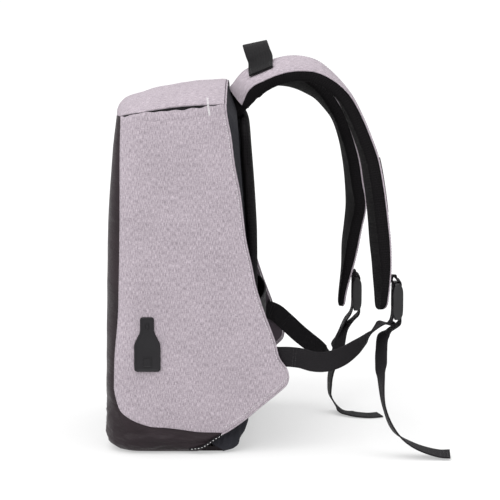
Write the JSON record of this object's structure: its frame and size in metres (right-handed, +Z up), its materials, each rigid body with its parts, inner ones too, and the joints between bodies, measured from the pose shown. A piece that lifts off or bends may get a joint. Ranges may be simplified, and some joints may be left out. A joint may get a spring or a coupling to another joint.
{
  "type": "anti theft backpack",
  "caption": "Boxy backpack with a hidden back opening: dark front and base, grey sides and top, padded back with luggage band, two padded straps, webbing handle and side port cover.",
  "frame": {"origin": "on the surface the bag stands on, in the middle of its width and close to the middle of its base's depth", "axes": "+Z up, -Y out of the bag's front, +Y towards the shoulder straps, +X to the wearer's right"},
  "size_m": [0.3274, 0.4266, 0.5039],
  "materials": {
    "grey_cloth": "heather grey woven polyester, matt",
    "dark_coated": "dark coated cloth, soft sheen",
    "slate_cloth": "dark slate woven polyester, matt",
    "black_mesh": "black air mesh over foam",
    "black_webbing": "black woven webbing",
    "black_plastic": "moulded black acetal",
    "black_rubber": "moulded rubber, satin"
  },
  "bodies": {
    "root": {"front_panel": "dark_coated", "bottom_panel": "dark_coated", "side_panel_right": "grey_cloth", "side_panel_left": "grey_cloth", "top_panel": "grey_cloth", "edge_piping": "grey_cloth", "strap_cover_right": "grey_cloth", "strap_cover_left": "grey_cloth", "wing_lining_right": "slate_cloth", "wing_lining_left": "slate_cloth", "back_gusset": "slate_cloth", "luggage_band": "slate_cloth", "back_pad": "black_mesh", "strap_pad_right": "black_mesh", "strap_pad_left": "black_mesh", "main_zipper": "black_webbing", "strap_overlay_right": "black_webbing", "strap_overlay_left": "black_webbing", "adjuster_loop_right": "black_webbing", "adjuster_loop_left": "black_webbing", "webbing_right": "black_webbing", "webbing_left": "black_webbing", "carry_handle": "black_webbing", "adjuster_right": "black_plastic", "adjuster_left": "black_plastic", "port_cover": "black_rubber"}
  },
  "joints": []
}
